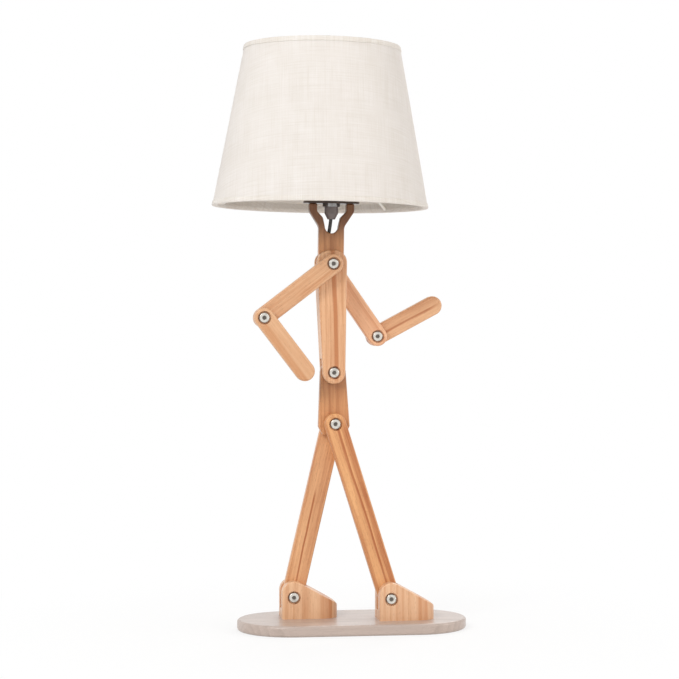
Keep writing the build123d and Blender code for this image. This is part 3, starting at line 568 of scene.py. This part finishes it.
# The hems: a strip of the same linen folded over each rim and its wire
hem_thickness, hem_outer, hem_inner, ring_wire = 0.0005, 0.004, 0.008, 0.003
wall = cover_thickness + glue_line + lining_thickness
pocket = wall + ring_wire + 2 * glue_line
hem_puff = 0.00012            # swelling of the strip at mid-height
outer_corner = (0.0001, 0.0004)           # how far the strip's corners are drawn back as they round off
wire_corner = (0.0008, 0.0004)
rim_corner, inner_corner = 0.0002, 0.0014
edge_waves = ((7, 0.00012, 0.3), (19, 0.00008, 1.2), (31, 0.00005, 2.1))
puff_waves = ((11, 0.00005, 0.9), (23, 0.00004, 0.2))


def hem_outline(turn, rim, inward):
    """The strip's section, slightly swollen where it goes round the rim, with edges that waver a little. It
    runs from its outer edge round the rim and the wire to its inner edge, and back along what it covers."""
    edge_waver = ripple(turn, *edge_waves)
    puff = hem_puff + ripple(turn, *puff_waves)
    outer, inner = rim + inward * (hem_outer + edge_waver), rim + inward * (hem_inner + edge_waver)
    edge, wire_side = rim - inward * hem_thickness, rim + inward * (ring_wire + 2 * glue_line)
    round_off = hem_thickness * 0.7
    middle = rim + inward * hem_outer * 0.5
    return [
        (cover_radius(outer), outer),
        (cover_radius(outer) + hem_thickness * 0.6, outer - inward * outer_corner[0]),
        (cover_radius(outer) + hem_thickness, outer - inward * outer_corner[1]),
        (cover_radius(middle) + hem_thickness + puff, middle),
        (cover_radius(rim) + hem_thickness, rim),
        (cover_radius(edge) + hem_thickness - round_off, edge),
        (cover_radius(edge) - pocket / 2, edge),
        (cover_radius(edge) - pocket + round_off * 0.5, edge),
        (cover_radius(edge) - pocket - hem_thickness * 0.6, rim + inward * rim_corner),
        (cover_radius(wire_side) - pocket - hem_thickness, wire_side - inward * wire_corner[0]),
        (cover_radius(wire_side) - pocket - hem_thickness * 0.4, wire_side + inward * wire_corner[1]),
        (cover_radius(inner) - wall - hem_thickness, inner - inward * inner_corner),
        (cover_radius(inner) - wall - hem_thickness * 0.5, inner),
        (cover_radius(inner) - wall, inner),
        (cover_radius(wire_side) - pocket, wire_side),
        (cover_radius(rim) - pocket, rim),
        (cover_radius(rim), rim),
    ]


hems = {}
for hem, rim, inward in (("bottom_hem", cover_low, 1), ("top_hem", cover_high, -1)):
    hems[hem] = swept(hem + "_linen", lambda turn: hem_outline(turn, rim, inward), hem_linen)
    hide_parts(hem)
    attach(hems[hem], "head")

# Notches in the lower hem, where the carrier's three arms reach the ring
arm_turns = [radians(turn) for turn in (42, 162, 282)]
arm_root = 0.0261             # from the neck's axis to where an arm leaves the carrier
carrier_thickness = 0.0016
notch_radius = 0.0018         # of an arm's wire and the play round it
ring_points = head_points("bottom_ring")
ring_height = (min(point.z for point in ring_points) + max(point.z for point in ring_points)) / 2
ring_left, ring_right = span(ring_points)
ring_radius = (ring_right - ring_left - ring_wire) / 2
arm_height = max(point.z for point in head_points("shade_spider")) - carrier_thickness / 2

cutters = bmesh.new()
for turn in arm_turns:
    start = head_frame @ Vector((arm_root * cos(turn), arm_root * sin(turn), arm_height))
    end = head_frame @ Vector((axis_x + ring_radius * cos(turn), ring_radius * sin(turn), ring_height))
    lie = (end - start).to_track_quat("Z", "Y").to_matrix().to_4x4()
    bmesh.ops.create_cone(cutters, cap_ends=True, segments=32, radius1=notch_radius, radius2=notch_radius,
                          depth=(end - start).length, matrix=Matrix.Translation((start + end) / 2) @ lie)
cutter_mesh = bpy.data.meshes.new("notch cutters")
cutters.to_mesh(cutter_mesh)
cutters.free()
cutter = bpy.data.objects.new("notch cutters", cutter_mesh)
bpy.context.scene.collection.objects.link(cutter)
lower_hem = hems["bottom_hem"]
cut = lower_hem.modifiers.new("notches", "BOOLEAN")
cut.operation, cut.solver, cut.object = "DIFFERENCE", "EXACT", cutter
notched = bpy.data.meshes.new_from_object(lower_hem.evaluated_get(bpy.context.evaluated_depsgraph_get()))
lower_hem.modifiers.clear()
lower_hem.data = notched
bpy.data.objects.remove(cutter)

# ---- Floor and world: white where a camera or a mirror sees them, and dimmer as lights
floor_half = 4.0
floor_share = (0.72, 1.0)     # of plain white in the floor, under the lamp and beyond it
floor_fade = (0.08, 0.42)     # from the middle of the floor, where that share rises
world_level = 0.65
plain_white = (1.0, 1.0, 1.0, 1.0)

floor_mesh = bpy.data.meshes.new("floor")
floor_mesh.from_pydata([(-floor_half, -floor_half, 0), (floor_half, -floor_half, 0),
                        (floor_half, floor_half, 0), (-floor_half, floor_half, 0)], [], [(0, 1, 2, 3)])
floor = bpy.data.objects.new("floor", floor_mesh)
bpy.context.scene.collection.objects.link(floor)

pale_floor = Finish("pale floor")
pale_floor.set(Base_Color=linear(244, 244, 244), Roughness=0.9)
away = pale_floor.length(pale_floor.add("NewGeometry").outputs["Position"])
white_share = pale_floor.math("MULTIPLY", pale_floor.seen(), pale_floor.ramp(away, *floor_fade, *floor_share))
pale_floor.surface(white_share, pale_floor.shader.outputs[0],
                   pale_floor.add("Emission", {"Color": plain_white, "Strength": 1.0}).outputs[0])
floor_mesh.materials.append(pale_floor.material)

world = bpy.data.worlds.new("studio")
bpy.context.scene.world = world
studio = NodeTree(world, "World Output")
lighting = studio.tree.nodes["Background"]
studio.plug(lighting, "Color", plain_white)
studio.plug(lighting, "Strength", world_level)
studio.surface(studio.seen(), lighting.outputs[0],
               studio.add("Background", {"Color": plain_white, "Strength": 1.0}).outputs[0])


# ---- Lights
def area_light(name, place, target, size, power, colour=(1, 1, 1)):
    lamp = bpy.data.lights.new(name, "AREA")
    lamp.size = size
    lamp.energy = power
    lamp.color = colour
    light = bpy.data.objects.new(name, lamp)
    light.location = place
    light.rotation_euler = (Vector(target) - Vector(place)).to_track_quat("-Z", "Y").to_euler()
    bpy.context.scene.collection.objects.link(light)


area_light("key", (-1.3, -1.5, 1.5), target=(0, 0, 0.3), size=0.9, power=24.5, colour=(1.0, 0.985, 0.965))
area_light("fill", (1.9, -0.8, 0.8), target=(0, 0, 0.38), size=1.4, power=13.0, colour=(1.0, 0.93, 0.86))
area_light("rim", (0.6, 1.6, 1.4), target=(0, 0, 0.35), size=1.0, power=8.0)
